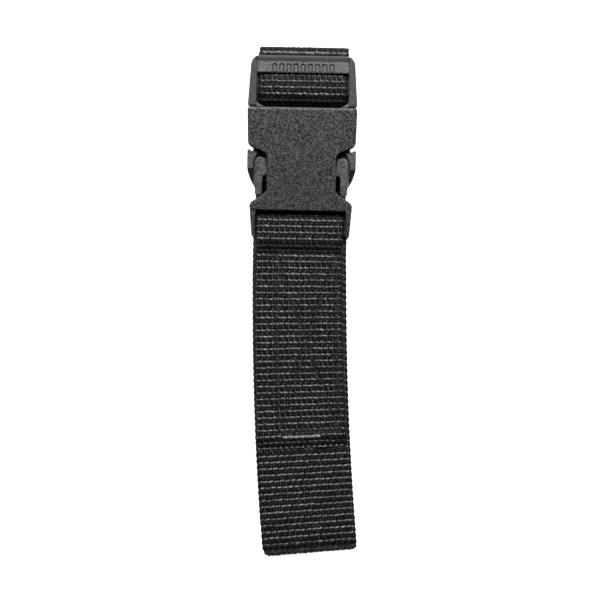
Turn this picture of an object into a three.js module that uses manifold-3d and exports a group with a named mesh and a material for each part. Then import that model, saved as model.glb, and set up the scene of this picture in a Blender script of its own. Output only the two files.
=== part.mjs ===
// A strap tourniquet, folded flat: a side-release buckle on a band of woven webbing.
// Millimetres, +Z up. The origin lies on the plane the folded strap rests on, under the middle of the
// receptacle's mouth. +Y runs from the receptacle to the plug, and +Z out of the buckle's front.
import * as THREE from 'three';
import { mergeVertices } from 'three/addons/utils/BufferGeometryUtils.js';
import Module from 'manifold-3d';

const wasm = await Module();
wasm.setup();

// ---- Driving dimensions ---------------------------------------------------------------------------

const clearance = 0.4;          // free space round the webbing and between its layers
const smallGap = 0.3;           // between two nodes of one continuous piece
const buckleMidZ = 12;          // middle plane of the buckle

const web = {
  thickness: 1.6,
  width: 38.6,                  // on the free runs
  drawnWidth: 36.6,             // where a buckle's slot draws it in
  sweep: 3.9e-4,                // sideways sweep of the folded stack, per mm of length squared
  sweepStart: -55,
};

// Heights of the middle of each layer, from the back of the stack to its front.
const layer = { tailLower: 0.8, tailUpper: 2.8, back: 4.8, load: 7.3, exit: 9.3, front: 10.6, sewn: 12.6 };

const receptacle = {
  mouthY: -0.3,
  endY: -55.3,
  mouthHalf: 22.6,
  mouthChamfer: { reach: 1.1, depth: 0.6 },
  wallEndHalf: 22.2,
  waistHalf: 14.2,
  wingHalf: 21.1,
  footHalf: 20.1,
  thickness: 12,
  sideWall: 2.2,
  cavityHeight: 7,
  cavityEndY: -38.5,
  slotY: -42.7,
  slotHalf: 18.6,
  barNoseY: -47.6,
  barEndY: -53.5,
  barHalfHeight: 2.2,
};

const plug = {
  railFootY: 0.3,
  endY: 21.3,
  footHalf: 22.5,
  headHalf: 21.5,
  railInner: 19,
  railThickness: 9.6,
  cornerRadius: 4.3,
  middleBar: { nearY: 6.2, farY: 11.2, z: 11.9, radius: 1.4, wrapY: 7.6, wrapReach: 5.6 },
  toothedBar: { lipY: 13.9, noseY: 16.4, noseRadius: 1.2, top: 16.6, strip: 15.5, stripY: 18.6 },
  crossbar: { nearY: -0.5, farY: -4.2, half: 19.8, height: 5.8, cornerRadius: 2.5, cornerTop: 16.5 },
  tongue: { half: 4.6, endY: -30, height: 4 },
  teeth: { firstY: 17.4, pitch: 1.2, depth: 0.25, half: 0.45 },
};

const arm = {
  rootY: -4.6,
  shankOuter: 19.9,
  latchY: -17.6,
  padOuter: 22.4,
  padFallY: -25.4,
  padFootY: -30,
  padFootDrop: 0.8,             // below the buckle's middle plane
  tipY: -36.5,
  height: 6,
  flat: { left: 14.5, right: 19.3, topY: -20.9, sink: 1.9 },
};

const ribs = { count: 9, pitch: 2.95, width: 1.0, length: 3.4, height: 0.3, moat: 0.6, moatDepth: 0.9 };

const seam = { left: -9.6, right: 15, top: -60.5, bottom: -133.2, threadWidth: 0.8, threadHeight: 0.4 };

const foldCentre = { bottomY: -176.8, topY: 21.8, tailY: -170 };
const bottomFoldReach = 6.5;    // the front layer droops into the bottom fold
const sewnEndY = -139.8;
const tailEndY = 8;

// ---- Solids ---------------------------------------------------------------------------------------

function toSolid(geometry) {
  const bare = geometry.clone();
  bare.deleteAttribute('normal');
  bare.deleteAttribute('uv');
  const merged = mergeVertices(bare, 1e-5);
  const mesh = new wasm.Mesh({
    numProp: 3,
    vertProperties: new Float32Array(merged.attributes.position.array),
    triVerts: new Uint32Array(merged.index.array),
  });
  return new wasm.Manifold(mesh);
}

function toGeometry(solid) {
  const mesh = solid.getMesh();
  const geometry = new THREE.BufferGeometry();
  geometry.setAttribute('position', new THREE.BufferAttribute(mesh.vertProperties, 3));
  geometry.setIndex(new THREE.BufferAttribute(mesh.triVerts, 1));
  geometry.computeVertexNormals();
  return geometry;
}

function joined(...solids) {
  return solids.reduce((sum, solid) => sum.add(solid));
}

function extruded(shape, depth) {
  return new THREE.ExtrudeGeometry(shape, { depth, bevelEnabled: false, curveSegments: 8 });
}

// A plan outline raised from z0 to z1.
function plate(shape, z0, z1) {
  const geometry = extruded(shape, z1 - z0);
  geometry.translate(0, 0, z0);
  return toSolid(geometry);
}

// A side outline drawn in Y and Z, carried across from x0 to x1.
function crossPiece(shape, x0, x1) {
  const geometry = extruded(shape, x1 - x0);
  const toRow = new THREE.Matrix4().set(0, 0, 1, x0, 1, 0, 0, 0, 0, 1, 0, 0, 0, 0, 0, 1);
  geometry.applyMatrix4(toRow);
  return toSolid(geometry);
}

function block(x0, x1, y0, y1, z0, z1) {
  const geometry = new THREE.BoxGeometry(x1 - x0, y1 - y0, z1 - z0);
  geometry.translate((x0 + x1) / 2, (y0 + y1) / 2, (z0 + z1) / 2);
  return toSolid(geometry);
}

function outline(points) {
  return new THREE.Shape(points.map(([x, y]) => new THREE.Vector2(x, y)));
}

function onFlank(solid, side) {
  return side > 0 ? solid : solid.mirror([1, 0, 0]);
}

// ---- Webbing --------------------------------------------------------------------------------------

// The folded stack sweeps to one side below the receptacle: a straight strap's point (x, y) goes here.
function swept(x, y) {
  const past = Math.max(0, web.sweepStart - y);
  const angle = Math.atan(2 * web.sweep * past);
  return [web.sweep * past * past + x * Math.cos(angle), y + x * Math.sin(angle)];
}

function sweepGeometry(geometry) {
  const position = geometry.attributes.position;
  for (let i = 0; i < position.count; i += 1) {
    const [x, y] = swept(position.getX(i), position.getY(i));
    position.setXY(i, x, y);
  }
  return geometry;
}

// A band of webbing whose middle follows a path drawn in Y and Z, in steps of about the given length.
function band(path, width, step, thickness = web.thickness) {
  const count = Math.max(1, Math.ceil(path.getLength() / step));
  const front = [];
  const back = [];
  for (let i = 0; i <= count; i += 1) {
    const at = path.getPointAt(i / count);
    const along = path.getTangentAt(i / count);
    const offset = new THREE.Vector2(-along.y, along.x).multiplyScalar(thickness / 2);
    front.push(at.clone().add(offset));
    back.push(at.clone().sub(offset));
  }
  const section = new THREE.Shape([...front, ...back.reverse()]);
  return sweepGeometry(toGeometry(crossPiece(section, -width / 2, width / 2)));
}

function straightPath(y0, y1, z) {
  return new THREE.Path().moveTo(y0, z).lineTo(y1, z);
}

// The sewn end comes up over the bar's front, turns round its nose and leaves behind it.
function sewnLoop() {
  const turn = receptacle.barHalfHeight + clearance + web.thickness / 2;
  const nose = receptacle.barNoseY;
  const leave = receptacle.barEndY - 1.5;
  const settle = leave - 5.4;
  const ease = 2.6;
  const overZ = buckleMidZ + turn;
  const underZ = buckleMidZ - turn;
  const path = new THREE.Path().moveTo(sewnEndY, layer.sewn);
  path.lineTo(settle, layer.sewn);
  path.bezierCurveTo(settle + ease, layer.sewn, leave - ease, overZ, leave, overZ);
  path.lineTo(nose, overZ);
  path.absarc(nose, buckleMidZ, turn, Math.PI / 2, -Math.PI / 2, true);
  path.lineTo(leave, underZ);
  path.bezierCurveTo(leave - ease, underZ, settle + ease, layer.front, settle, layer.front);
  path.lineTo(settle - 1, layer.front);
  return band(path, web.drawnWidth, 1.2);
}

function frontRun() {
  const top = receptacle.barEndY - 8 - smallGap;
  return band(straightPath(top, foldCentre.bottomY + smallGap, layer.front), web.width, 8);
}

function halfTurn(centreY, lowZ, highZ, towards, reach = (highZ - lowZ) / 2) {
  const centreZ = (lowZ + highZ) / 2;
  const half = (highZ - lowZ) / 2;
  const path = new THREE.Path();
  return path.absellipse(centreY, centreZ, reach, half, Math.PI / 2, -Math.PI / 2, towards > 0);
}

function bottomFold() {
  const path = halfTurn(foldCentre.bottomY, layer.back, layer.front, -1, bottomFoldReach);
  return band(path, web.width, 0.9);
}

function backRun() {
  const top = foldCentre.topY - smallGap;
  return band(straightPath(foldCentre.bottomY + smallGap, top, layer.back), web.width, 8);
}

// From the inner fold the strap runs under the plug, comes up on the prong side, crosses the middle
// bar and leaves under the toothed bar.
function adjusterWrap() {
  const { farY, z, radius, wrapY, wrapReach } = plug.middleBar;
  const overZ = z + radius + clearance + web.thickness / 2;
  const dip = (overZ - layer.exit) / 2;
  const rise = (overZ - layer.load) / 2;
  const path = new THREE.Path();
  const innerRadius = (layer.load - layer.back) / 2;
  path.absarc(foldCentre.topY, layer.back + innerRadius, innerRadius, -Math.PI / 2, Math.PI / 2, false);
  path.lineTo(wrapY, layer.load);
  path.absellipse(wrapY, layer.load + rise, wrapReach, rise, -Math.PI / 2, -1.5 * Math.PI, true);
  path.lineTo(farY, overZ);
  path.absarc(farY, overZ - dip, dip, Math.PI / 2, 0, true);
  path.absarc(farY + 2 * dip, layer.exit + dip, dip, Math.PI, 1.5 * Math.PI, false);
  path.lineTo(foldCentre.topY - smallGap, layer.exit);
  return band(path, web.drawnWidth, 0.7);
}

function topFold() {
  return band(halfTurn(foldCentre.topY, layer.tailUpper, layer.exit, 1), web.drawnWidth, 0.9);
}

function tailUpper() {
  const path = straightPath(foldCentre.tailY + smallGap, foldCentre.topY - smallGap, layer.tailUpper);
  return band(path, web.width, 8);
}

function tailFold() {
  return band(halfTurn(foldCentre.tailY, layer.tailLower, layer.tailUpper, -1), web.width, 0.5);
}

function tailLower() {
  const path = straightPath(foldCentre.tailY + smallGap, tailEndY, layer.tailLower);
  return band(path, web.width, 8);
}

// ---- Stitching ------------------------------------------------------------------------------------

function threadLine([x0, y0], [x1, y1], z) {
  const length = Math.hypot(x1 - x0, y1 - y0);
  const pieces = Math.ceil(length / 8);
  const geometry = new THREE.BoxGeometry(
    seam.threadWidth, length + seam.threadWidth, seam.threadHeight, 1, pieces, 1,
  );
  geometry.rotateZ(Math.atan2(y1 - y0, x1 - x0) - Math.PI / 2);
  geometry.translate((x0 + x1) / 2, (y0 + y1) / 2, z);
  return toSolid(geometry);
}

// A long box with a cross in it, lying on the sewn layer.
function boxSeam() {
  const { left, right, top, bottom } = seam;
  const z = layer.sewn + web.thickness / 2 + 0.05 + seam.threadHeight / 2;
  const corners = [[left, top], [right, top], [right, bottom], [left, bottom]];
  const sides = corners.map((corner, i) => threadLine(corner, corners[(i + 1) % 4], z));
  const cross = [threadLine(corners[0], corners[2], z), threadLine(corners[1], corners[3], z)];
  return sweepGeometry(toGeometry(joined(...sides, ...cross)));
}

// ---- Receptacle -----------------------------------------------------------------------------------

function receptacleOutline() {
  const { mouthHalf, wallEndHalf, waistHalf, wingHalf, footHalf, mouthY, endY } = receptacle;
  const shape = new THREE.Shape();
  const side = (s) => [
    ['line', s * (mouthHalf - 0.8), mouthY],
    ['curve', s * mouthHalf, mouthY, s * mouthHalf, mouthY - 0.8],
    ['line', s * wallEndHalf, -14.6],
    ['curve', s * wallEndHalf, -15.4, s * 21.4, -15.9],
    ['line', s * 19.6, -17],
    ['line', s * 16.4, -18.3],
    ['curve', s * waistHalf, -19.1, s * waistHalf, -21.4],
    ['line', s * waistHalf, -34.4],
    ['curve', s * waistHalf, -35.4, s * (waistHalf + 0.9), -35.9],
    ['line', s * 20, -39.1],
    ['curve', s * wingHalf, -39.8, s * wingHalf, -41.2],
    ['line', s * footHalf, -53],
    ['line', s * 18.9, -54.8],
    ['line', s * 18.6, endY],
  ];
  const add = ([kind, ...at]) => {
    if (kind === 'line') shape.lineTo(...at);
    else shape.quadraticCurveTo(...at);
  };
  shape.moveTo(0, mouthY);
  side(1).forEach(add);
  // The left flank is the right one run backwards, so each curve swaps its ends.
  const left = side(-1);
  const ends = left.map((step) => step.slice(-2));
  shape.lineTo(...ends[ends.length - 1]);
  for (let i = left.length - 1; i > 0; i -= 1) {
    const [kind, cx, cy] = left[i];
    add(kind === 'line' ? ['line', ...ends[i - 1]] : ['curve', cx, cy, ...ends[i - 1]]);
  }
  return shape;
}

function receptacleBody() {
  const r = receptacle;
  const half = r.thickness / 2;
  const cavityHalf = r.mouthHalf - r.sideWall;
  const cavityZ = r.cavityHeight / 2;
  const back = buckleMidZ - half;
  const front = buckleMidZ + half;
  const shell = plate(receptacleOutline(), back, front);
  const cavity = block(
    -cavityHalf, cavityHalf, r.cavityEndY, r.mouthY + 1, buckleMidZ - cavityZ, buckleMidZ + cavityZ,
  );
  const cavityFlare = crossPiece(outline([
    [r.mouthY + 1, buckleMidZ - cavityZ - 0.8],
    [r.mouthY + 1, buckleMidZ + cavityZ + 0.8],
    [r.mouthY - 1.2, buckleMidZ + cavityZ - 0.2],
    [r.mouthY - 1.2, buckleMidZ - cavityZ + 0.2],
  ]), -cavityHalf, cavityHalf);
  const { reach, depth } = r.mouthChamfer;
  const chamfer = outline([
    [r.mouthY - reach, front],
    [r.mouthY - reach, front + 1],
    [r.mouthY + 1, front + 1],
    [r.mouthY + 1, front - depth],
    [r.mouthY, front - depth],
  ]);
  const frontChamfer = crossPiece(chamfer, -r.mouthHalf - 1, r.mouthHalf + 1);
  const backChamfer = frontChamfer.mirror([0, 0, 1]).translate([0, 0, 2 * buckleMidZ]);
  const windows = [1, -1].map((side) => {
    const bore = plate(outline([
      [r.waistHalf - 6, -19.8], [r.wallEndHalf + 2, -17.4], [r.wallEndHalf + 2, r.cavityEndY],
      [r.waistHalf - 6, r.cavityEndY],
    ]), buckleMidZ - cavityZ, buckleMidZ + cavityZ);
    return onFlank(bore, side);
  });
  const slot = block(-r.slotHalf, r.slotHalf, r.endY - 1, r.slotY, back - 1, front + 1);
  let body = shell.subtract(cavity).subtract(cavityFlare).subtract(slot);
  body = body.subtract(frontChamfer).subtract(backChamfer);
  windows.forEach((window) => {
    body = body.subtract(window);
  });
  return toGeometry(joined(body, receptacleBar(), ...guideRibs()));
}

function receptacleBar() {
  const { barNoseY, barEndY, barHalfHeight, slotHalf } = receptacle;
  const shape = new THREE.Shape();
  shape.absarc(barNoseY, buckleMidZ, barHalfHeight, -Math.PI / 2, Math.PI / 2, false);
  shape.lineTo(barEndY + 1, buckleMidZ + barHalfHeight);
  shape.quadraticCurveTo(barEndY, buckleMidZ, barEndY + 1, buckleMidZ - barHalfHeight);
  return crossPiece(shape, -slotHalf - 1, slotHalf + 1);
}

// Two low ribs on each inner face keep the plug's tongue in the middle.
function guideRibs() {
  const inner = plug.tongue.half + 0.6;
  const width = 1.2;
  const height = 2.7;
  const cavityZ = receptacle.cavityHeight / 2;
  const solids = [];
  [1, -1].forEach((side) => {
    const back = buckleMidZ - cavityZ;
    const front = buckleMidZ + cavityZ;
    const backRib = block(inner, inner + width, -36, -5, back - 0.5, back + height);
    const frontRib = block(inner, inner + width, -36, -5, front - height, front + 0.5);
    solids.push(onFlank(backRib, side), onFlank(frontRib, side));
  });
  return solids;
}

// ---- Plug -----------------------------------------------------------------------------------------

function plugOutline() {
  const { footHalf, headHalf, railFootY, endY, cornerRadius } = plug;
  const shape = new THREE.Shape();
  shape.moveTo(footHalf - 0.8, railFootY);
  shape.quadraticCurveTo(footHalf, railFootY, footHalf, railFootY + 0.8);
  shape.lineTo(headHalf, endY - cornerRadius);
  shape.absarc(headHalf - cornerRadius, endY - cornerRadius, cornerRadius, 0, Math.PI / 2, false);
  shape.absarc(cornerRadius - headHalf, endY - cornerRadius, cornerRadius, Math.PI / 2, Math.PI, false);
  shape.lineTo(-footHalf, railFootY + 0.8);
  shape.quadraticCurveTo(-footHalf, railFootY, 0.8 - footHalf, railFootY);
  return shape;
}

function rails() {
  const half = plug.railThickness / 2;
  const frame = plate(plugOutline(), buckleMidZ - half, buckleMidZ + half);
  const opening = block(
    -plug.railInner, plug.railInner,
    plug.railFootY - 1, plug.endY + 1,
    buckleMidZ - half - 1, buckleMidZ + half + 1,
  );
  return frame.subtract(opening);
}

function middleBar() {
  const { nearY, farY, z, radius } = plug.middleBar;
  const shape = new THREE.Shape();
  shape.absarc(farY, z, radius, -Math.PI / 2, Math.PI / 2, false);
  shape.absarc(nearY, z, radius, Math.PI / 2, 1.5 * Math.PI, false);
  return crossPiece(shape, -plug.railInner - 0.5, plug.railInner + 0.5);
}

// The toothed bar's front face slopes down towards the plug's end and carries the thumb ribs.
function toothedBar() {
  const { lipY, noseY, noseRadius, top, strip, stripY } = plug.toothedBar;
  const under = layer.exit + web.thickness / 2 + clearance + 0.2;
  const shape = new THREE.Shape();
  shape.moveTo(plug.endY - 0.8, under);
  shape.quadraticCurveTo(plug.endY, under, plug.endY, under + 0.8);
  shape.lineTo(plug.endY, strip - 1.4);
  shape.quadraticCurveTo(plug.endY, strip, plug.endY - 1.4, strip);
  shape.lineTo(stripY, strip);
  shape.lineTo(lipY + 0.4, top);
  shape.lineTo(lipY, top - 0.4);
  shape.lineTo(lipY, 15);
  shape.lineTo(noseY - noseRadius, 13.6);
  shape.absarc(noseY, under + noseRadius, noseRadius, Math.PI, 1.5 * Math.PI, false);
  const bar = crossPiece(shape, -plug.railInner - 0.5, plug.railInner + 0.5);
  const corner = plate(plugOutline(), 0, 30);
  const seams = [1, -1].map((side) => onFlank(
    block(plug.railInner - 0.1, plug.railInner + 0.35, lipY - 1, plug.endY + 1, strip - 0.8, top + 1), side,
  ));
  let face = bar.intersect(corner);
  [...seams, ...thumbMoats()].forEach((cut) => {
    face = face.subtract(cut);
  });
  return joined(face, ...thumbRibs(), ...gripTeeth(under));
}

// A plan outline laid on the sloping face, in the place of thumb rib i, from low to high above the face.
function onToothedFace(shape, low, high, i) {
  const { lipY, top, strip, stripY } = plug.toothedBar;
  const slope = Math.atan2(strip - top, stripY - lipY - 0.4);
  const geometry = extruded(shape, high - low);
  geometry.translate(0, 0, low);
  geometry.rotateX(slope);
  geometry.translate((i - (ribs.count - 1) / 2) * ribs.pitch, lipY, top);
  return toSolid(geometry);
}

function archShape(half, y0, y1) {
  const shape = new THREE.Shape();
  shape.moveTo(-half, y0);
  shape.lineTo(half, y0);
  shape.absarc(0, y1 - half, half, 0, Math.PI, false);
  return shape;
}

function thumbMoats() {
  const half = ribs.width / 2 + ribs.moat;
  const shape = archShape(half, -1, ribs.length + ribs.moat);
  return Array.from({ length: ribs.count }, (_, i) => onToothedFace(shape, -ribs.moatDepth, 1, i));
}

function thumbRibs() {
  const shape = archShape(ribs.width / 2, 0.2, ribs.length);
  return Array.from({ length: ribs.count }, (_, i) => onToothedFace(shape, -1, ribs.height, i));
}

// Three low teeth under the bar bite into the webbing that leaves below it.
function gripTeeth(under) {
  const { firstY, pitch, depth, half } = plug.teeth;
  return [0, 1, 2].map((i) => {
    const y = firstY + i * pitch;
    const tooth = outline([[y - half, under + 0.2], [y, under - depth], [y + half, under + 0.2]]);
    return crossPiece(tooth, 1 - plug.railInner, plug.railInner - 1);
  });
}

function crossbarAndTongue() {
  const { crossbar, tongue, railInner, railFootY, footHalf } = plug;
  const halfBar = crossbar.height / 2;
  const low = buckleMidZ - halfBar;
  const high = buckleMidZ + halfBar;
  const bar = block(-crossbar.half, crossbar.half, crossbar.farY, crossbar.nearY, low, high);
  const shoulders = [1, -1].map((side) => onFlank(
    block(railInner - 0.2, footHalf - 1, railFootY, railFootY + 1.1, low, high), side,
  ));
  const necks = [1, -1].map((side) => onFlank(
    block(railInner - 1.8, crossbar.half, crossbar.nearY - 0.2, railFootY + 0.3, low, high), side,
  ));
  const { cornerRadius, cornerTop } = crossbar;
  const corners = [1, -1].flatMap((side) => [
    onFlank(cornerFillet(cornerRadius, cornerTop), side),
    onFlank(cornerFillet(cornerRadius + 0.7, cornerTop - 0.25), side),
  ]);
  const tip = 2;
  const guide = plate(outline([
    [tongue.half, crossbar.farY + 0.5],
    [-tongue.half, crossbar.farY + 0.5],
    [-tongue.half, tongue.endY + tip],
    [tip - tongue.half, tongue.endY],
    [tongue.half - tip, tongue.endY],
    [tongue.half, tongue.endY + tip],
  ]), buckleMidZ - tongue.height / 2, buckleMidZ + tongue.height / 2);
  return joined(bar, guide, ...shoulders, ...necks, ...corners);
}

// The opening's inner corners are rounded near the front face, in two steps.
function cornerFillet(radius, top) {
  const { railInner } = plug;
  const foot = 0.25;
  const shape = new THREE.Shape();
  shape.moveTo(railInner + 0.3, 0);
  shape.lineTo(railInner + 0.3, foot + radius);
  shape.lineTo(railInner, foot + radius);
  shape.absarc(railInner - radius, foot + radius, radius, 0, -Math.PI / 2, true);
  shape.lineTo(railInner - radius, 0);
  return plate(shape, 12.5, top);
}

function plugFrame() {
  return toGeometry(joined(rails(), middleBar(), toothedBar(), crossbarAndTongue()));
}

// ---- Release arms ---------------------------------------------------------------------------------

function armOutline() {
  const { rootY, shankOuter, latchY, padOuter, tipY } = arm;
  const shape = new THREE.Shape();
  shape.moveTo(15.2, rootY);
  shape.quadraticCurveTo(16.6, -11, 15.6, -16.5);
  shape.quadraticCurveTo(13.2, -19, 13.2, -22.5);
  shape.lineTo(13.2, -27.2);
  shape.quadraticCurveTo(13.2, -28.3, 14.6, -28.3);
  shape.quadraticCurveTo(16, -28.3, 16, -29.6);
  shape.lineTo(16.2, tipY + 0.8);
  shape.quadraticCurveTo(16.4, tipY, 17.6, tipY);
  shape.quadraticCurveTo(19, tipY, 19, tipY + 1.2);
  shape.lineTo(19.1, -33.2);
  shape.quadraticCurveTo(padOuter - 0.6, -29.5, padOuter, -25.2);
  shape.lineTo(padOuter, latchY - 0.5);
  shape.quadraticCurveTo(padOuter, latchY, padOuter - 0.7, latchY);
  shape.lineTo(20.6, latchY - 0.75);
  shape.quadraticCurveTo(shankOuter, latchY - 0.9, shankOuter, latchY + 0.6);
  shape.lineTo(shankOuter, -8.2);
  shape.quadraticCurveTo(shankOuter, -6, 18.8, rootY);
  return shape;
}

// The flat of the arm has an arched top. The arm is sunk above it, and a groove runs down beside it.
function archedStep(z0, z1) {
  const { left, right, topY } = arm.flat;
  const half = (right - left) / 2;
  const groove = 0.7;
  const shape = new THREE.Shape();
  shape.moveTo(12, -15);
  shape.lineTo(16.6, -15);
  shape.lineTo(17.4, topY + 2.6);
  shape.quadraticCurveTo(right + groove, topY - 0.4, right + groove, topY - 4.5);
  shape.lineTo(right + groove - 0.2, -31.5);
  shape.lineTo(right - 0.2, -31.5);
  shape.lineTo(right, topY - half);
  shape.absarc((left + right) / 2, topY - half, half, 0, Math.PI, false);
  shape.lineTo(left, -25);
  shape.lineTo(12, -25);
  return plate(shape, z0, z1);
}

// The thumb pad falls away towards the arm's tip.
function padFall() {
  const { padFallY, padFootY, padFootDrop, tipY, height } = arm;
  const front = buckleMidZ + height / 2;
  const foot = buckleMidZ - padFootDrop;
  const side = outline([
    [padFallY, front],
    [padFallY, front + 1],
    [tipY - 1, front + 1],
    [tipY - 1, foot],
    [padFootY, foot],
  ]);
  return crossPiece(side, arm.flat.right + 0.3, arm.padOuter + 1);
}

function releaseArm(side) {
  const half = arm.height / 2;
  const { sink } = arm.flat;
  const front = buckleMidZ + half;
  const back = buckleMidZ - half;
  const cut = plate(armOutline(), back, front)
    .subtract(archedStep(front - sink, front + 1))
    .subtract(archedStep(back - 1, back + sink))
    .subtract(padFall());
  return toGeometry(onFlank(cut, side));
}

// ---- Assembly -------------------------------------------------------------------------------------

const plastic = { color: 0x2c2c2f, roughness: 0.6, metalness: 0 };
const toolMarked = { color: 0x38383b, roughness: 0.55, metalness: 0 };
const webbing = { color: 0x141415, roughness: 0.75, metalness: 0 };
const thread = { color: 0x1c1c1d, roughness: 0.6, metalness: 0 };

function piece(name, geometry, look) {
  const mesh = new THREE.Mesh(geometry, new THREE.MeshStandardMaterial(look));
  mesh.name = name;
  return mesh;
}

const tourniquet = new THREE.Group();
tourniquet.add(
  piece('receptacle_body', receptacleBody(), plastic),
  piece('plug_frame', plugFrame(), plastic),
  piece('left_release_arm', releaseArm(-1), toolMarked),
  piece('right_release_arm', releaseArm(1), toolMarked),
  piece('strap_sewn_loop', sewnLoop(), webbing),
  piece('strap_front_run', frontRun(), webbing),
  piece('strap_bottom_fold', bottomFold(), webbing),
  piece('strap_back_run', backRun(), webbing),
  piece('strap_adjuster_wrap', adjusterWrap(), webbing),
  piece('strap_top_fold', topFold(), webbing),
  piece('strap_tail_upper', tailUpper(), webbing),
  piece('strap_tail_fold', tailFold(), webbing),
  piece('strap_tail_lower', tailLower(), webbing),
  piece('box_seam_thread', boxSeam(), thread),
);

export default tourniquet;
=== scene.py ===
"""A strap tourniquet, folded flat with its side-release buckle closed.

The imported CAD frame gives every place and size. This script adds the looks: woven webbing with
real relief along the strap's whole path, rounded and grained mouldings, stitches, light and camera.
"""

import math

import bmesh
import bpy
import numpy as np
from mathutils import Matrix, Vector


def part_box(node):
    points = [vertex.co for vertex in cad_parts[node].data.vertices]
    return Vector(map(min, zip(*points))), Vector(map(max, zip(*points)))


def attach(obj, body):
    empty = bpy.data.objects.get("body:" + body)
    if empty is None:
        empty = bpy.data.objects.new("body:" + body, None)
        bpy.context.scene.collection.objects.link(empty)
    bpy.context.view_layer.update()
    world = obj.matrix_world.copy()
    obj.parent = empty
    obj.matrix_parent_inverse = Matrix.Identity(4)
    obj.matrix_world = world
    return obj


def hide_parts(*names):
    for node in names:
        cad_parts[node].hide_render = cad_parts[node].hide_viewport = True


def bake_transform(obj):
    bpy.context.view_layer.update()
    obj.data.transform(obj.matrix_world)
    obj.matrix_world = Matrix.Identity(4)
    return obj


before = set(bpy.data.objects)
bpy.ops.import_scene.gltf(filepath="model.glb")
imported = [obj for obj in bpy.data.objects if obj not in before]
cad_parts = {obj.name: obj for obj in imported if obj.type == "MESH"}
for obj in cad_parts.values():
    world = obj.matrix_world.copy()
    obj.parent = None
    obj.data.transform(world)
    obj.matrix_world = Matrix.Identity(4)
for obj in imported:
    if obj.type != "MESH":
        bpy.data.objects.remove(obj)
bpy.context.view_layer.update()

MM = 0.001

# ---- Webbing, in millimetres ----------------------------------------------------------------------
THICKNESS = 1.6
RIB_PITCH = 2.56  # along the strap
YARN_PITCH = 2.3  # across the strap
FLOAT_HEIGHT = 0.42  # the long floats that catch the light
LOOP_HEIGHT = 0.24  # the small loops between them
EDGE_STEPS = 5
FINE = 0.22  # mesh step where the camera looks
PLAIN = 0.30  # mesh step elsewhere
PRESSED = 0.75  # share of the relief left in the tail's layers, which lie flat on each other
SWEEP = 3.9e-4  # sideways sweep of the folded stack, per mm of length squared
SWEEP_START = -55.0
DRAWN_WIDTH = 36.6  # inside the buckle's slots
BOTTOM_REACH = 6.5  # how far the bottom fold droops along the strap
WRAP_REACH = 5.6  # the same round the plug's middle bar
SEALED_ROW_OFFSET = 1.5  # the glossy row of the sewn end lies this far below the seam
SEALED_HEIGHT = 0.3
YARN_COUNT = 16  # across the strap
CORE = THICKNESS / 2 - 0.28  # half of the thickness under the relief
# The selvages' share also sets how much painted sheen their colour takes.
EDGE_SHARE = 0.3  # how glossy the selvages are, next to a float's 1
WEAVE_UV_WIDTH = 0.0368  # metres of weave texture across the strap
LAYER_GAP = 0.4  # between two layers inside the plug
BAR_RUN = 7.4  # flat over the receptacle's bar
STEP_RUN, STEP_EASE = 5.4, 2.6  # from the bar's height down to the stack
WRAP_FLAT = 3.6  # flat over the plug's middle bar
SEWN_END_REACH = 6.2  # strap past the box seam
END_DROOP, END_DROP = 4.6, 0.95  # the sewn end droops over this length, by this height
SEWN_LENGTH = 79.0  # from the sewn end to about the seam's top
BOTTOM_FOLD_WIDTH, TAIL_FOLD_WIDTH = 39.0, 38.6
TIP_TURN = 7.6  # from about the bottom fold's lowest point to the end of the front piece

# ---- Mouldings, in millimetres --------------------------------------------------------------------
RECEPTACLE_VOXEL, RECEPTACLE_SMOOTHING = 0.25, 14
PLUG_VOXEL, PLUG_SMOOTHING = 0.17, 5
ARM_VOXEL, ARM_SMOOTHING = 0.19, 7

# ---- Seam, in millimetres -------------------------------------------------------------------------
STITCH_LENGTH = 2.9
STITCH_GAP = 0.5
THREAD_RADIUS = 0.36
SEAM_SINK = 0.34
SEAM_REACH = 1.1
SEAM_LEFT, SEAM_RIGHT = -9.6, 15.0
SEAM_TOP_INSET, SEAM_BOTTOM_INSET = 0.5, 1.0  # from the ends of the frame's seam
STITCH_RINGS, STITCH_SIDES = 9, 10

# ---- Colours, and the zones of the mouldings painted lighter or darker as painted highlights and painted shade, in millimetres ---
# Yarn colours: the floats' grey is painted sheen, the sunken yarn's near-black painted shade, and the
# melted row's pale grey a painted highlight.
YARN_SUNK_PAINTED_SHADE = (0.0012, 0.0012, 0.0012)
YARN_FLOAT_PAINTED_SHEEN = (0.042, 0.040, 0.040)
YARN_MELTED_PAINTED_HIGHLIGHT = (0.34, 0.34, 0.35)
THREAD_DARK, THREAD_LIGHT = (0.016, 0.016, 0.015), (0.030, 0.030, 0.028)
# Pale colour of the painted highlight on the convex edges that face the key.
PAINTED_EDGE_HIGHLIGHT = (0.21, 0.205, 0.215)
SPECKLE_RANGE = (0.41, 0.63)
# Painted highlight: the receptacle's mouth rim is lighter, where it faces the key.
MOUTH_RIM_PAINTED_HIGHLIGHT = {"Y": (-1.4, 2)}
# Painted shade: the receptacle gets darker towards its foot.
FOOT_END_PAINTED_SHADE = {"Y": (-200, -5)}
# Painted highlight on the rounded lower corners of the plug's window.
WINDOW_CORNER_PAINTED_HIGHLIGHT = {"X": (14.5, 19), "Y": (-1, 3.6), "Z": (14.5, 18)}
# Painted shade: the end strip is darkened, standing in for the dark reflection of its polished face.
END_STRIP_PAINTED_SHADE = {"X": (-1, 19.2), "Y": (18.5, 30)}
# Painted highlight: the toothed face is lighter, where it faces the key.
TOOTHED_FACE_PAINTED_HIGHLIGHT = {"X": (-1, 19.2), "Y": (13, 18.8), "Z": (14.4, 20)}
# Painted shadow on the arms' pad, below the post.
PAD_FALL_PAINTED_SHADOW = {"X": (19.6, 30), "Y": (-33, -25.2)}

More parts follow.
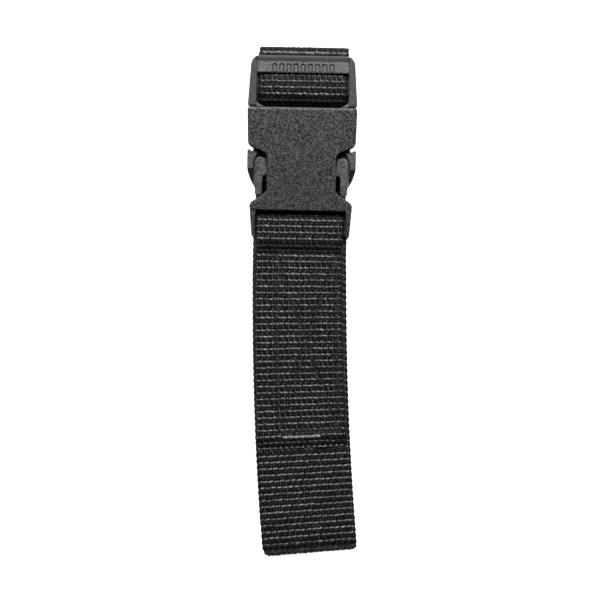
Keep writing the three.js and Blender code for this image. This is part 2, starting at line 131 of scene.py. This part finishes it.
# ---- Camera and light -----------------------------------------------------------------------------
VIEW_WIDTH = 0.2478  # metres across the picture, at the buckle's middle plane
VIEW_CENTRE = Vector((0.0004, -0.0794, 0.012))
VIEW_TILT = math.radians(1.04)
CAMERA_HEIGHT = 0.9
SENSOR = 36.0
HORIZON = 0.6
ZENITH = 0.03

rng = np.random.default_rng(7)


def middle(node, axis):
    low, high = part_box(node)
    return (low[axis] + high[axis]) / 2 / MM


# Heights of each layer's middle, read from the frame.
front_z = middle("strap_front_run", 2)
back_z = middle("strap_back_run", 2)
tail_upper_z = middle("strap_tail_upper", 2)
tail_lower_z = middle("strap_tail_lower", 2)
exit_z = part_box("strap_top_fold")[1].z / MM - THICKNESS / 2
load_z = exit_z - THICKNESS - LAYER_GAP
sewn_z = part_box("box_seam_thread")[0].z / MM - 0.05 - THICKNESS / 2
loop_low, loop_high = (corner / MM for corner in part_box("strap_sewn_loop"))
wrap_low, wrap_high = (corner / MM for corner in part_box("strap_adjuster_wrap"))
seam_low, seam_high = (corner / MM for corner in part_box("box_seam_thread"))


# ---- Paths, drawn in Y and Z ----------------------------------------------------------------------
def line(start, end):
    share = np.linspace(0, 1, 60)[:, None]
    return np.array(start) * (1 - share) + np.array(end) * share


def arc(centre, radius, start, end, reach=None):
    """An arc of the given radius, or of an ellipse that reaches further along the strap."""
    angle = np.radians(np.linspace(start, end, 80))
    return np.array(centre) + np.column_stack([(reach or radius) * np.cos(angle), radius * np.sin(angle)])


def bezier(p0, p1, p2, p3):
    t = np.linspace(0, 1, 60)[:, None]
    p0, p1, p2, p3 = map(np.array, (p0, p1, p2, p3))
    return (1 - t) ** 3 * p0 + 3 * (1 - t) ** 2 * t * p1 + 3 * (1 - t) * t ** 2 * p2 + t ** 3 * p3


def joined(*stretches):
    points = np.vstack(stretches)
    keep = np.r_[True, np.hypot(*np.diff(points, axis=0).T) > 1e-6]
    return points[keep]


def resampled(path, step):
    lengths = np.r_[0, np.cumsum(np.hypot(*np.diff(path, axis=0).T))]
    count = max(2, int(math.ceil(lengths[-1] / step)) + 1)
    along = np.linspace(0, lengths[-1], count)
    points = np.column_stack([np.interp(along, lengths, path[:, k]) for k in (0, 1)])
    tangent = np.gradient(points, axis=0)
    tangent /= np.linalg.norm(tangent, axis=1)[:, None]
    return points, tangent, along


def path_length(path):
    return float(np.hypot(*np.diff(path, axis=0).T).sum())


# ---- Weave ----------------------------------------------------------------------------------------
CELL_NOISE = rng.uniform(-1, 1, (700, 80, 4))


def cell_values(row, column):
    return CELL_NOISE[row.astype(int) % 700, column.astype(int) % 80]


def ellipse(x):
    return np.sqrt(np.clip(1 - x * x, 0, None))


def weave(across, along):
    """Height of the woven face, in mm, and how much of each point is float, across and along."""
    x, y = across / YARN_PITCH, along / RIB_PITCH
    row = np.round(y)
    shifted = x + 0.5 * (row % 2)
    column = np.round(shifted)
    noise = cell_values(row, column)
    dx = shifted - column + 0.05 * noise[..., 0]
    dy = y - row + 0.035 * noise[..., 1] + (0.09 + 0.08 * noise[..., 3]) * dx
    floats = FLOAT_HEIGHT * (1 + 0.22 * noise[..., 2])
    shade = noise[..., 0] * 0.6 + noise[..., 3] * 0.4
    floats = floats * ellipse(dy / 0.23) * ellipse(np.abs(dx / 0.51) ** 1.7)
    column, row = np.floor(2 * x), np.floor(y)
    noise = cell_values(row + 331, column + 17)
    dx = 2 * x - column - 0.5 + 0.08 * noise[..., 0]
    dy = y - row - 0.5 + 0.06 * np.where(column % 2 == 0, 1, -1) + 0.03 * noise[..., 1]
    loops = LOOP_HEIGHT * (1 + 0.35 * noise[..., 2]) * np.where(column % 2 == 0, 1.15, 0.7)
    loops = loops * ellipse(dx / 0.38) * ellipse(dy / 0.26)
    # The share sets gloss and painted sheen: floats take the sheen colour, loops a little of it.
    float_share = np.clip(floats / FLOAT_HEIGHT, 0, 1) ** 0.6 * (0.80 + 0.34 * shade)
    loop_share = 0.42 * (loops / LOOP_HEIGHT) ** 1.5
    return np.maximum(floats, loops), np.where(floats > loops, float_share, loop_share)


def sweep(x, y):
    """Where a straight strap's point (x, y) lies once the stack has swept sideways."""
    past = np.maximum(0, SWEEP_START - y)
    angle = np.arctan(2 * SWEEP * past)
    return SWEEP * past * past + x * np.cos(angle), y + x * np.sin(angle)


def seam_dip(x, y):
    """How far the thread pulls the sewn layer down."""
    nearest = np.full(x.shape, 1e3)
    for a, b in seam_lines():
        ab = np.subtract(b, a)
        t = np.clip(((x - a[0]) * ab[0] + (y - a[1]) * ab[1]) / (ab @ ab), 0, 1)
        nearest = np.minimum(nearest, np.hypot(x - a[0] - t * ab[0], y - a[1] - t * ab[1]))
    return SEAM_SINK * np.clip(1 - nearest / SEAM_REACH, 0, 1) ** 0.7


def seam_lines():
    """The box and its cross on the straight strap. Their ends come from the frame's seam."""
    top, bottom = seam_high.y - SEAM_TOP_INSET, seam_low.y + SEAM_BOTTOM_INSET
    corners = [(SEAM_LEFT, top), (SEAM_RIGHT, top), (SEAM_RIGHT, bottom), (SEAM_LEFT, bottom)]
    box = [(corners[i], corners[(i + 1) % 4]) for i in range(4)]
    return box + [(corners[0], corners[2]), (corners[1], corners[3])]


def melted_yarn(x, y, end):
    """Height, in mm, of the glossy row next to the sewn end and of the beads along its cut edge."""
    cell = x / YARN_PITCH
    off = cell - np.round(cell)
    row = (0.55 + 0.45 * ellipse(off / 0.5)) * ellipse((y - seam_low.y + SEALED_ROW_OFFSET) / 0.55)
    beads = ellipse(off / 0.22) * ellipse((y - end - 0.6) / 0.45)
    return SEALED_HEIGHT * np.maximum(row * (x > -8.2) * (x < 7.3), beads)


def end_lift(x, along):
    """The sewn end gapes a little on one side."""
    return 0.55 * np.clip(1 - np.abs(x - 8.2) / 4.4, 0, 1) ** 0.7 * np.clip(1 - along / 2.6, 0, 1)


def melted_end(x, y, along, relief, gloss_and_painted_sheen, core):
    """The sewn end's melted yarns with a painted highlight on the sealed row, painted shade dimming the
    yarns next to the cut, and its thinning towards the cut.
    """
    sealed = melted_yarn(x, y, y[0, 0]) * (along < 20)[:, None]
    # Painted shade: the yarns next to the cut are dimmed, in colour as well as in gloss.
    gloss_and_painted_sheen = gloss_and_painted_sheen * np.interp(along, (0, 3.4, 4.4), (0.9, 0.8, 1))[:, None]
    # The sealed row's share goes above 1, which gives it the pale colour of a painted highlight.
    gloss_and_painted_sheen = np.maximum(gloss_and_painted_sheen, 2 * sealed / SEALED_HEIGHT)
    relief = relief * np.interp(along, (0, 3.0), (0.8, 1))[:, None] + sealed
    core = core * np.interp(along, (0, 4.5), (0.12, 1))[:, None]
    return relief, gloss_and_painted_sheen, core


def ring_section(x, face, reverse, core, s):
    """The section as a ring: the face, the right selvage, the back and the left selvage."""
    turn = np.linspace(0, math.pi, EDGE_STEPS + 2)[1:-1]
    bulge = core * (0.92 + 0.22 * np.cos(s[:, :1] / RIB_PITCH * 2 * math.pi))
    across = [x, x[:, -1:] + bulge * np.sin(turn), x[:, ::-1], x[:, :1] - bulge * np.sin(turn)]
    height = [face, bulge * np.cos(turn), -reverse[:, ::-1], -bulge * np.cos(turn)]
    return np.hstack(across), np.hstack(height)


def webbing(name, path, start, step, width, shift, sewn=False, relief_share=1.0):
    """A woven strap along a path. width and shift are (length, value) keys along it."""
    points, tangent, along = resampled(path, step)
    normal = np.column_stack([-tangent[:, 1], tangent[:, 0]])
    widths = np.interp(along, *zip(*width))
    shifts = np.interp(along, *zip(*shift))
    columns = int(round(DRAWN_WIDTH / step)) + 1
    side = np.linspace(-0.5, 0.5, columns)
    s = (start + along)[:, None] * np.ones(columns)
    nominal = side[None, :] * YARN_PITCH * YARN_COUNT
    edge_fade = np.clip((0.5 - np.abs(side)) / 0.02, 0, 1)[None, :] ** 0.5
    core = CORE
    relief, gloss_and_painted_sheen = weave(nominal, s)
    back_relief, back_gloss_and_painted_sheen = weave(nominal + YARN_PITCH / 2, s + RIB_PITCH / 2)
    relief, back_relief = relief * relief_share, back_relief * relief_share
    x = side[None, :] * (widths[:, None] - 2 * core) + shifts[:, None]
    if sewn:
        relief, gloss_and_painted_sheen, core = melted_end(x, points[:, :1], along, relief, gloss_and_painted_sheen, core)
    face = core + edge_fade * relief
    reverse = core + edge_fade * back_relief
    if sewn:
        flat = tangent[:, :1] > 0.99
        face = face - seam_dip(x, points[:, :1]) * flat
    rx, rv = ring_section(x, face, reverse, core, s)
    y = points[:, :1] + rv * normal[:, :1]
    z = points[:, 1:] + rv * normal[:, 1:]
    if sewn:
        z = z + end_lift(rx, along[:, None])
    px, py = sweep(rx, y)
    co = np.stack([px, py, z], axis=-1).reshape(-1, 3) * MM
    rows, ring = rx.shape
    u = np.hstack([side, np.full(EDGE_STEPS, 0.52), side[::-1], np.full(EDGE_STEPS, -0.52)])
    uv_across = np.tile(u * WEAVE_UV_WIDTH, (rows, 1))
    uv_along = np.repeat((start + along)[:, None] * MM, ring, 1)
    uv = np.stack([uv_across, uv_along], -1)
    edge = np.full((rows, EDGE_STEPS), EDGE_SHARE)
    float_share = np.hstack([gloss_and_painted_sheen, edge, back_gloss_and_painted_sheen[:, ::-1], edge])
    obj = grid_object(name, co, rows, ring, uv.reshape(-1, 2), float_share.ravel())
    return obj, start + along[-1]


def grid_object(name, co, rows, ring, uv, float_share):
    """A closed tube of rings with flat end caps."""
    i, j = np.meshgrid(np.arange(rows - 1), np.arange(ring), indexing="ij")
    k = (j + 1) % ring
    quads = np.stack([i * ring + j, (i + 1) * ring + j, (i + 1) * ring + k, i * ring + k], -1)
    faces = quads.reshape(-1, 4)
    mesh = bpy.data.meshes.new(name)
    caps = cap_faces(0, ring) + [f[::-1] for f in cap_faces((rows - 1) * ring, ring)]
    mesh.from_pydata(co.tolist(), [], faces.tolist() + caps)
    layer = mesh.uv_layers.new(name="weave")
    index = np.empty(len(mesh.loops), int)
    mesh.loops.foreach_get("vertex_index", index)
    layer.data.foreach_set("uv", uv[index].astype(np.float32).ravel())
    share = mesh.attributes.new("float_share", "FLOAT", "POINT")
    share.data.foreach_set("value", float_share.astype(np.float32))
    mesh.polygons.foreach_set("use_smooth", np.ones(len(mesh.polygons), bool))
    mesh.update()
    tidy_normals(mesh)
    obj = bpy.data.objects.new(name, mesh)
    bpy.context.collection.objects.link(obj)
    return obj


def cap_faces(first, ring):
    """Quads across one end: the front and back points pair up through the thickness."""
    columns = ring // 2 - EDGE_STEPS
    front = [first + c for c in range(columns)]
    back = [first + 2 * columns + EDGE_STEPS - 1 - c for c in range(columns)]
    faces = [[front[c], front[c + 1], back[c + 1], back[c]] for c in range(columns - 1)]
    right = [first + columns + e for e in range(EDGE_STEPS)]
    left = [first + 2 * columns + EDGE_STEPS + e for e in range(EDGE_STEPS)]
    faces.append([front[-1]] + right + [back[-1]])
    faces.append([back[0]] + left + [front[0]])
    return faces


def tidy_normals(mesh):
    bm = bmesh.new()
    bm.from_mesh(mesh)
    bmesh.ops.recalc_face_normals(bm, faces=bm.faces)
    bm.to_mesh(mesh)
    bm.free()


# ---- Materials ------------------------------------------------------------------------------------
class Nodes:
    """A small helper round a material's node tree."""

    def __init__(self, name):
        self.material = bpy.data.materials.new(name)
        self.material.use_nodes = True
        self.tree = self.material.node_tree
        self.shader = self.tree.nodes["Principled BSDF"]

    def add(self, kind, **settings):
        node = self.tree.nodes.new(kind)
        for key, value in settings.items():
            if hasattr(node, key):
                setattr(node, key, value)
            else:
                node.inputs[key.replace("_", " ")].default_value = value
        return node

    def link(self, out, into):
        self.tree.links.new(out, into)

    def noise(self, vector, scale, detail=2.0, roughness=0.5):
        node = self.add("ShaderNodeTexNoise")
        node.inputs["Scale"].default_value = scale
        node.inputs["Detail"].default_value = detail
        node.inputs["Roughness"].default_value = roughness
        self.link(vector, node.inputs["Vector"])
        return node.outputs["Fac"]

    def ramp(self, value, low, high, at=(0.3, 0.7)):
        node = self.add("ShaderNodeMapRange")
        self.link(value, node.inputs["Value"])
        for key, number in zip(("From Min", "From Max", "To Min", "To Max"), (*at, low, high)):
            node.inputs[key].default_value = number
        return node.outputs["Result"]

    def mix(self, factor, a, b):
        """A colour between a and b, which are colours or sockets."""
        node = self.add("ShaderNodeMix", data_type="RGBA")
        self.link(factor, node.inputs["Factor"])
        for name, colour in (("A", a), ("B", b)):
            if isinstance(colour, tuple):
                node.inputs[name].default_value = (*colour, 1)
            else:
                self.link(colour, node.inputs[name])
        return node.outputs["Result"]

    def math(self, operation, *values):
        node = self.add("ShaderNodeMath", operation=operation)
        for value, socket in zip(values, node.inputs):
            self.link(value, socket)
        return node.outputs["Value"]

    def region(self, limits, soft):
        """A mask that is 1 between the (low, high) limits, in mm, of |X|, Y and Z."""
        place = self.add("ShaderNodeSeparateXYZ")
        self.link(self.add("ShaderNodeTexCoord").outputs["Object"], place.inputs[0])
        masks = []
        for axis, (low, high) in limits.items():
            value = place.outputs[axis]
            if axis == "X":
                value = self.math("ABSOLUTE", value)
            masks.append(self.ramp(value, 0, 1, (low * MM, (low + soft) * MM)))
            masks.append(self.ramp(value, 1, 0, ((high - soft) * MM, high * MM)))
        mask = masks[0]
        for other in masks[1:]:
            mask = self.math("MULTIPLY", mask, other)
        return mask

    def lit_edges(self):
        """A mask of the convex edges that face the plug's end and the key light, where a painted highlight
        lightens the moulding.
        """
        geometry = self.add("ShaderNodeNewGeometry")
        facing = self.add("ShaderNodeSeparateXYZ")
        self.link(geometry.outputs["Normal"], facing.inputs[0])
        convex = self.ramp(geometry.outputs["Pointiness"], 0, 1, (0.502, 0.525))
        return self.math("MULTIPLY", convex, self.ramp(facing.outputs["Y"], 0, 1, (0.1, 0.5)))

    def bump(self, height, distance, strength=1.0, after=None):
        node = self.add("ShaderNodeBump")
        node.inputs["Distance"].default_value = distance
        node.inputs["Strength"].default_value = strength
        self.link(height, node.inputs["Height"])
        if after is not None:
            self.link(after, node.inputs["Normal"])
        return node.outputs["Normal"]


def moulded_plastic(name, dark, light, grain, depth, roughness, zones=()):
    """Black moulded plastic. grain is the size of its texture and depth its height, in metres.

    A zone is (limits, factor, soft): the colours are multiplied by factor between the limits, which paints
    a highlight or shade there.
    """
    n = Nodes(name)
    place = n.add("ShaderNodeTexCoord").outputs["Object"]
    speckle = n.noise(place, 1 / grain, 3.0, 0.65)
    cloud = n.noise(place, 1 / 0.012, 2.0)
    tone = n.ramp(speckle, 0, 1, SPECKLE_RANGE)
    colour = n.mix(tone, dark, light)
    for limits, factor, soft in zones:
        zone_dark, zone_light = (tuple(factor * c for c in shade) for shade in (dark, light))
        colour = n.mix(n.region(limits, soft), colour, n.mix(tone, zone_dark, zone_light))
    # Convex edges that face the key are painted pale as a highlight.
    n.link(n.mix(n.lit_edges(), colour, PAINTED_EDGE_HIGHLIGHT), n.shader.inputs["Base Color"])
    n.link(n.ramp(cloud, roughness - 0.05, roughness + 0.06), n.shader.inputs["Roughness"])
    coarse = n.bump(speckle, depth)
    fine = n.bump(n.noise(place, 4 / grain, 2.0), depth / 3, 0.6, coarse)
    n.link(fine, n.shader.inputs["Normal"])
    n.shader.inputs["Specular IOR Level"].default_value = 0.4
    return n.material


def woven_yarn(name):
    """Black filament yarn: the floats are glossier than the sunken loops, with painted sheen in their grey
    colour and painted shade in the loops' near-black; the sealed row's pale colour is a painted highlight.
    """
    n = Nodes(name)
    uv = n.add("ShaderNodeUVMap", uv_map="weave").outputs["UV"]
    share = n.add("ShaderNodeAttribute", attribute_name="float_share").outputs["Fac"]
    stretch = n.add("ShaderNodeMapping")
    stretch.inputs["Scale"].default_value = (0.15, 1.0, 1.0)
    n.link(uv, stretch.inputs["Vector"])
    filament = n.noise(stretch.outputs["Vector"], 1 / 0.00016, 2.0, 0.6)
    # Shares above 1 mark the sealed row, painted pale as a highlight.
    melted = n.ramp(share, 0, 1, (1.1, 1.7))
    n.link(n.mix(melted, n.mix(share, YARN_SUNK_PAINTED_SHADE, YARN_FLOAT_PAINTED_SHEEN), YARN_MELTED_PAINTED_HIGHLIGHT), n.shader.inputs["Base Color"])
    matte = n.ramp(share, 0.50, 0.28, (0, 1))
    n.link(n.math("ADD", matte, n.ramp(filament, -0.08, 0.10)), n.shader.inputs["Roughness"])
    n.link(n.ramp(share, 0.06, 0.95, (0, 1)), n.shader.inputs["Specular IOR Level"])
    n.link(n.bump(filament, 0.00006, 0.8), n.shader.inputs["Normal"])
    return n.material


def twisted_thread(name):
    n = Nodes(name)
    place = n.add("ShaderNodeTexCoord").outputs["Object"]
    wave = n.add("ShaderNodeTexWave")
    wave.inputs["Scale"].default_value = 1 / 0.0011
    wave.inputs["Distortion"].default_value = 1.5
    n.link(place, wave.inputs["Vector"])
    n.link(n.mix(n.noise(place, 1 / 0.0006), THREAD_DARK, THREAD_LIGHT),
           n.shader.inputs["Base Color"])
    n.link(n.bump(wave.outputs["Fac"], 0.00008), n.shader.inputs["Normal"])
    n.shader.inputs["Roughness"].default_value = 0.62
    return n.material


yarn = woven_yarn("black_webbing")
seam_thread = twisted_thread("seam_thread")
# Each zone paints a highlight or shade into a moulding's colour.
receptacle_look = moulded_plastic(
    "receptacle_plastic", dark=(0.001, 0.001, 0.0015), light=(0.150, 0.146, 0.156),
    grain=0.00074, depth=0.00060, roughness=0.42,
    zones=[(FOOT_END_PAINTED_SHADE, 0.76, 40), (MOUTH_RIM_PAINTED_HIGHLIGHT, 2.6, 0.5)])
plug_look = moulded_plastic(
    "plug_plastic", dark=(0.026, 0.026, 0.028), light=(0.095, 0.093, 0.099),
    grain=0.0007, depth=0.00022, roughness=0.40,
    zones=[(END_STRIP_PAINTED_SHADE, 0.3, 0.4), (TOOTHED_FACE_PAINTED_HIGHLIGHT, 1.7, 0.4), (WINDOW_CORNER_PAINTED_HIGHLIGHT, 2.2, 0.3)])
arm_look = moulded_plastic(
    "arm_plastic", dark=(0.034, 0.034, 0.036), light=(0.135, 0.132, 0.140),
    grain=0.0009, depth=0.00030, roughness=0.42,
    zones=[(PAD_FALL_PAINTED_SHADOW, 0.2, 0.4)])


def dress(obj, material):
    obj.data.materials.clear()
    obj.data.materials.append(material)
    return obj


# ---- Strap pieces ---------------------------------------------------------------------------------
def unswept(y, width):
    """Where a fold of this width lies on the straight strap, when its swept corner is at y."""
    return y + width / 2 * math.sin(math.atan(2 * SWEEP * (SWEEP_START - y)))


def front_path():
    """From the sewn end, over the receptacle's bar, back down and round the bottom fold."""
    over, under = loop_high.z - THICKNESS / 2, loop_low.z + THICKNESS / 2
    turn = (over - under) / 2
    nose = loop_high.y - THICKNESS / 2 - turn
    leave, ease = nose - BAR_RUN, STEP_EASE
    settle = leave - STEP_RUN
    fold_radius = (front_z - back_z) / 2
    fold_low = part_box("strap_bottom_fold")[0].y / MM
    fold_y = unswept(fold_low + BOTTOM_REACH + THICKNESS / 2, BOTTOM_FOLD_WIDTH)
    sewn_end = seam_low.y - SEWN_END_REACH
    droop = sewn_end + END_DROOP
    end_z = sewn_z - END_DROP
    return joined(
        bezier((sewn_end, end_z), (sewn_end + 1.8, end_z + 0.35), (droop - 1.4, sewn_z), (droop, sewn_z)),
        line((droop, sewn_z), (settle, sewn_z)),
        bezier((settle, sewn_z), (settle + ease, sewn_z), (leave - ease, over), (leave, over)),
        line((leave, over), (nose, over)),
        arc((nose, (over + under) / 2), turn, 90, -90),
        line((nose, under), (leave, under)),
        bezier((leave, under), (leave - ease, under), (settle + ease, front_z), (settle, front_z)),
        line((settle, front_z), (fold_y, front_z)),
        arc((fold_y, (front_z + back_z) / 2), fold_radius, 90, 270, BOTTOM_REACH),
    ), fold_y


def back_path(fold_y):
    """Up behind the buckle, round the inner fold, and through the plug's bars."""
    fold_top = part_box("strap_top_fold")[0].y / MM
    inner = (load_z - back_z) / 2
    over = wrap_high.z - THICKNESS / 2
    rise = (over - load_z) / 2
    dip = (over - exit_z) / 2
    near = wrap_low.y + THICKNESS / 2 + WRAP_REACH
    far = near + WRAP_FLAT
    return joined(
        line((fold_y, back_z), (fold_top, back_z)),
        arc((fold_top, back_z + inner), inner, -90, 90),
        line((fold_top, load_z), (near, load_z)),
        arc((near, load_z + rise), rise, -90, -270, WRAP_REACH),
        line((near, over), (far, over)),
        arc((far, over - dip), dip, 90, 0),
        arc((far + 2 * dip, exit_z + dip), dip, 180, 270),
        line((far + 2 * dip, exit_z), (fold_top, exit_z)),
    ), fold_top


def tail_paths(fold_top):
    """Round the top fold and down the back, then round the tail's fold and up again."""
    radius = (exit_z - tail_upper_z) / 2
    bottom = unswept(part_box("strap_tail_upper")[0].y / MM, TAIL_FOLD_WIDTH)
    small = (tail_upper_z - tail_lower_z) / 2
    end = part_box("strap_tail_lower")[1].y / MM
    upper = joined(
        arc((fold_top, exit_z - radius), radius, 90, -90),
        line((fold_top, tail_upper_z), (bottom, tail_upper_z)),
    )
    lower = joined(
        arc((bottom, tail_upper_z - small), small, 90, 270),
        line((bottom, tail_lower_z), (end, tail_lower_z)),
    )
    return upper, lower


def bend_over(piece):
    """Bakes the piece's placement into its mesh."""
    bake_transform(piece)


def build_strap():
    """The four webbing pieces. The rear layers narrow a little behind the receptacle's windows."""
    path, fold_y = front_path()
    length = path_length(path)
    tip = length - TIP_TURN
    width = [(0, 38.2), (20, 37.4), (60, 36.8), (SEWN_LENGTH, 36.2), (SEWN_LENGTH + 26, 36.6),
             (SEWN_LENGTH + 45, 38.8), (length - 18, 39.2), (tip - 4, 39.2), (tip - 1.6, 38.4), (tip, 36.8),
             (tip + 1.6, 38.4), (tip + 4, 39), (length, 38.8)]
    shift = [(0, -0.6), (60, -0.6), (SEWN_LENGTH, -0.5), (SEWN_LENGTH + 26, -0.2), (SEWN_LENGTH + 60, 0),
             (tip - 4, 0), (tip, 0.4), (tip + 4, 0), (length, 0)]
    front, s = webbing("webbing_front", path, 0.0, FINE, width, shift, sewn=True)
    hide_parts("strap_sewn_loop", "strap_front_run", "strap_bottom_fold")
    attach(front, "receptacle")

    path, fold_top = back_path(fold_y)
    run = fold_top - fold_y
    length = path_length(path)
    width = [(0, 38.8), (run - 70, 38.6), (run - 62, 37.2), (run - 52, 37.2), (run - 44, 38.6),
             (run - 2, 38.4), (run + 4, DRAWN_WIDTH), (length, DRAWN_WIDTH)]
    back, s = webbing("webbing_back", path, s, FINE, width, [(0, 0), (length, 0)])
    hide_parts("strap_back_run", "strap_adjuster_wrap")
    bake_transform(back)

    upper, lower = tail_paths(fold_top)
    length = path_length(upper)
    width = [(0, DRAWN_WIDTH), (8, 37.4), (16, 38.6), (54, 38.6), (62, 37.2), (71, 37.2), (79, 38.6),
             (length, 38.8)]
    shift = [(0, 0.4), (60, -0.3), (length, -0.5)]
    tail_a, s = webbing("webbing_tail_upper", upper, s, PLAIN, width, shift, relief_share=PRESSED)
    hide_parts("strap_top_fold", "strap_tail_upper")
    bend_over(tail_a)

    length = path_length(lower)
    width = [(0, 38.8), (130, 38.6), (138, 37.2), (147, 37.2), (155, 38.6), (length, 38.4)]
    shift = [(0, -0.5), (length, 0.3)]
    tail_b, s = webbing("webbing_tail_lower", lower, s, PLAIN, width, shift, relief_share=PRESSED)
    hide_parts("strap_tail_fold", "strap_tail_lower")
    bend_over(tail_b)
    for piece in (front, back, tail_a, tail_b):
        dress(piece, yarn)


# ---- Stitches -------------------------------------------------------------------------------------
def capsule(length, radius, rings, sides):
    """One stitch: a thread that rises from its hole, lies flat and goes down again."""
    t = np.linspace(-1, 1, rings)
    along = t * length / 2
    size = radius * np.sqrt(np.clip(1 - np.abs(t) ** 4, 0.04, 1))
    lift = -radius * 0.9 * np.abs(t) ** 3
    angle = np.linspace(0, 2 * math.pi, sides, endpoint=False)
    x = size[:, None] * np.cos(angle)
    z = size[:, None] * np.sin(angle) * 0.8 + lift[:, None]
    y = np.repeat(along[:, None], sides, 1)
    return np.stack([x, y, z], -1).reshape(-1, 3)


def stitched(name, lines, height):
    """Stitches along straight-strap lines, laid on the swept surface at the given height."""
    rings, sides = STITCH_RINGS, STITCH_SIDES
    points, faces = [], []
    for a, b in lines:
        a, b = np.array(a), np.array(b)
        length = np.linalg.norm(b - a)
        count = max(1, int(round(length / (STITCH_LENGTH + STITCH_GAP))))
        step = length / count
        direction = (b - a) / length
        across = np.array([direction[1], -direction[0]])
        for i in range(count):
            base = capsule(step - STITCH_GAP, THREAD_RADIUS, rings, sides)
            middle_point = a + direction * step * (i + 0.5) + across * rng.uniform(-0.1, 0.1)
            flat = middle_point + np.outer(base[:, 1], direction) + np.outer(base[:, 0], across)
            x, y = sweep(flat[:, 0], flat[:, 1])
            first = len(points) * rings * sides
            points.append(np.column_stack([x, y, base[:, 2] + height]) * MM)
            faces += tube_faces(first, rings, sides)
    mesh = bpy.data.meshes.new(name)
    mesh.from_pydata(np.vstack(points).tolist(), [], faces)
    mesh.polygons.foreach_set("use_smooth", np.ones(len(mesh.polygons), bool))
    tidy_normals(mesh)
    obj = bpy.data.objects.new(name, mesh)
    bpy.context.collection.objects.link(obj)
    return obj


def tube_faces(first, rings, sides):
    faces = []
    for r in range(rings - 1):
        for k in range(sides):
            n = (k + 1) % sides
            faces.append([first + r * sides + k, first + r * sides + n,
                          first + (r + 1) * sides + n, first + (r + 1) * sides + k])
    faces.append([first + k for k in range(sides)][::-1])
    faces.append([first + (rings - 1) * sides + k for k in range(sides)])
    return faces


def build_seam():
    surface = sewn_z + THICKNESS / 2 - SEAM_SINK + 0.12
    seam = stitched("box_seam", seam_lines(), surface)
    dress(seam, seam_thread)
    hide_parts("box_seam_thread")
    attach(seam, "receptacle")


# ---- Mouldings ------------------------------------------------------------------------------------
def refined(node, name, voxel, smoothing, body, material):
    """A moulding's CAD shape with softly rounded edges."""
    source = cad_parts[node]
    work = bpy.data.objects.new(name, source.data.copy())
    bpy.context.collection.objects.link(work)
    remesh = work.modifiers.new("remesh", "REMESH")
    remesh.mode = "VOXEL"
    remesh.voxel_size = voxel * MM
    smooth = work.modifiers.new("smooth", "SMOOTH")
    smooth.factor = 0.5
    smooth.iterations = smoothing
    depsgraph = bpy.context.evaluated_depsgraph_get()
    mesh = bpy.data.meshes.new_from_object(work.evaluated_get(depsgraph), depsgraph=depsgraph)
    work.modifiers.clear()
    work.data = mesh
    mesh.polygons.foreach_set("use_smooth", np.ones(len(mesh.polygons), bool))
    dress(work, material)
    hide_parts(node)
    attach(work, body)
    return work


def build_mouldings():
    refined("receptacle_body", "receptacle", RECEPTACLE_VOXEL, RECEPTACLE_SMOOTHING,
            "receptacle", receptacle_look)
    refined("plug_frame", "plug", PLUG_VOXEL, PLUG_SMOOTHING, "plug", plug_look)
    for side in ("left", "right"):
        refined(f"{side}_release_arm", f"{side}_arm_moulding", ARM_VOXEL, ARM_SMOOTHING,
                f"{side}_arm", arm_look)


# ---- Stage ----------------------------------------------------------------------------------------
def floor():
    mesh = bpy.data.meshes.new("floor")
    size = 3.0
    corners = [(-size, -size, 0), (size, -size, 0), (size, size, 0), (-size, size, 0)]
    mesh.from_pydata(corners, [], [(0, 1, 2, 3)])
    obj = bpy.data.objects.new("floor", mesh)
    bpy.context.collection.objects.link(obj)
    n = Nodes("pale_floor")
    n.shader.inputs["Base Color"].default_value = (0.9, 0.9, 0.9, 1)
    n.shader.inputs["Roughness"].default_value = 0.9
    n.shader.inputs["Emission Color"].default_value = (1, 1, 1, 1)
    seen = n.add("ShaderNodeLightPath").outputs["Is Camera Ray"]
    n.link(seen, n.shader.inputs["Emission Strength"])
    mesh.materials.append(n.material)
    obj.location.z = -0.0002


def soft_light(name, place, target, size, power):
    lamp = bpy.data.lights.new(name, "AREA")
    lamp.shape = "RECTANGLE"
    lamp.size, lamp.size_y = size
    lamp.energy = power
    obj = bpy.data.objects.new(name, lamp)
    bpy.context.collection.objects.link(obj)
    obj.location = place
    obj.rotation_mode = "QUATERNION"
    obj.rotation_quaternion = (Vector(target) - Vector(place)).to_track_quat("-Z", "Y")


def light_horizon(tree):
    """Soft fill round the horizon for the sides, and little from above."""
    height = tree.nodes.new("ShaderNodeSeparateXYZ")
    fade = tree.nodes.new("ShaderNodeMapRange")
    place = tree.nodes.new("ShaderNodeTexCoord")
    tree.links.new(place.outputs["Generated"], height.inputs[0])
    tree.links.new(height.outputs["Z"], fade.inputs["Value"])
    for key, number in (("From Min", 0.05), ("From Max", 0.4), ("To Min", HORIZON), ("To Max", ZENITH)):
        fade.inputs[key].default_value = number
    tree.links.new(fade.outputs["Result"], tree.nodes["Background"].inputs["Strength"])
    tree.nodes["Background"].inputs["Color"].default_value = (1, 1, 1, 1)


def studio():
    target = (0.0, -0.08, 0.01)
    soft_light("key", (0.0, 0.62, 0.95), target, (0.8, 0.26), 16)
    world = bpy.data.worlds.new("studio")
    world.use_nodes = True
    light_horizon(world.node_tree)
    bpy.context.scene.world = world
    bpy.context.scene.view_settings.view_transform = "Standard"


def camera():
    data = bpy.data.cameras.new("camera")
    data.sensor_width = SENSOR
    data.lens = SENSOR * CAMERA_HEIGHT / VIEW_WIDTH
    data.clip_start, data.clip_end = 0.01, 10
    obj = bpy.data.objects.new("camera", data)
    bpy.context.collection.objects.link(obj)
    obj.location = VIEW_CENTRE + Vector((0, 0, CAMERA_HEIGHT))
    obj.rotation_euler = (0, 0, VIEW_TILT)
    bpy.context.scene.camera = obj


build_strap()
build_seam()
build_mouldings()
floor()
studio()
camera()
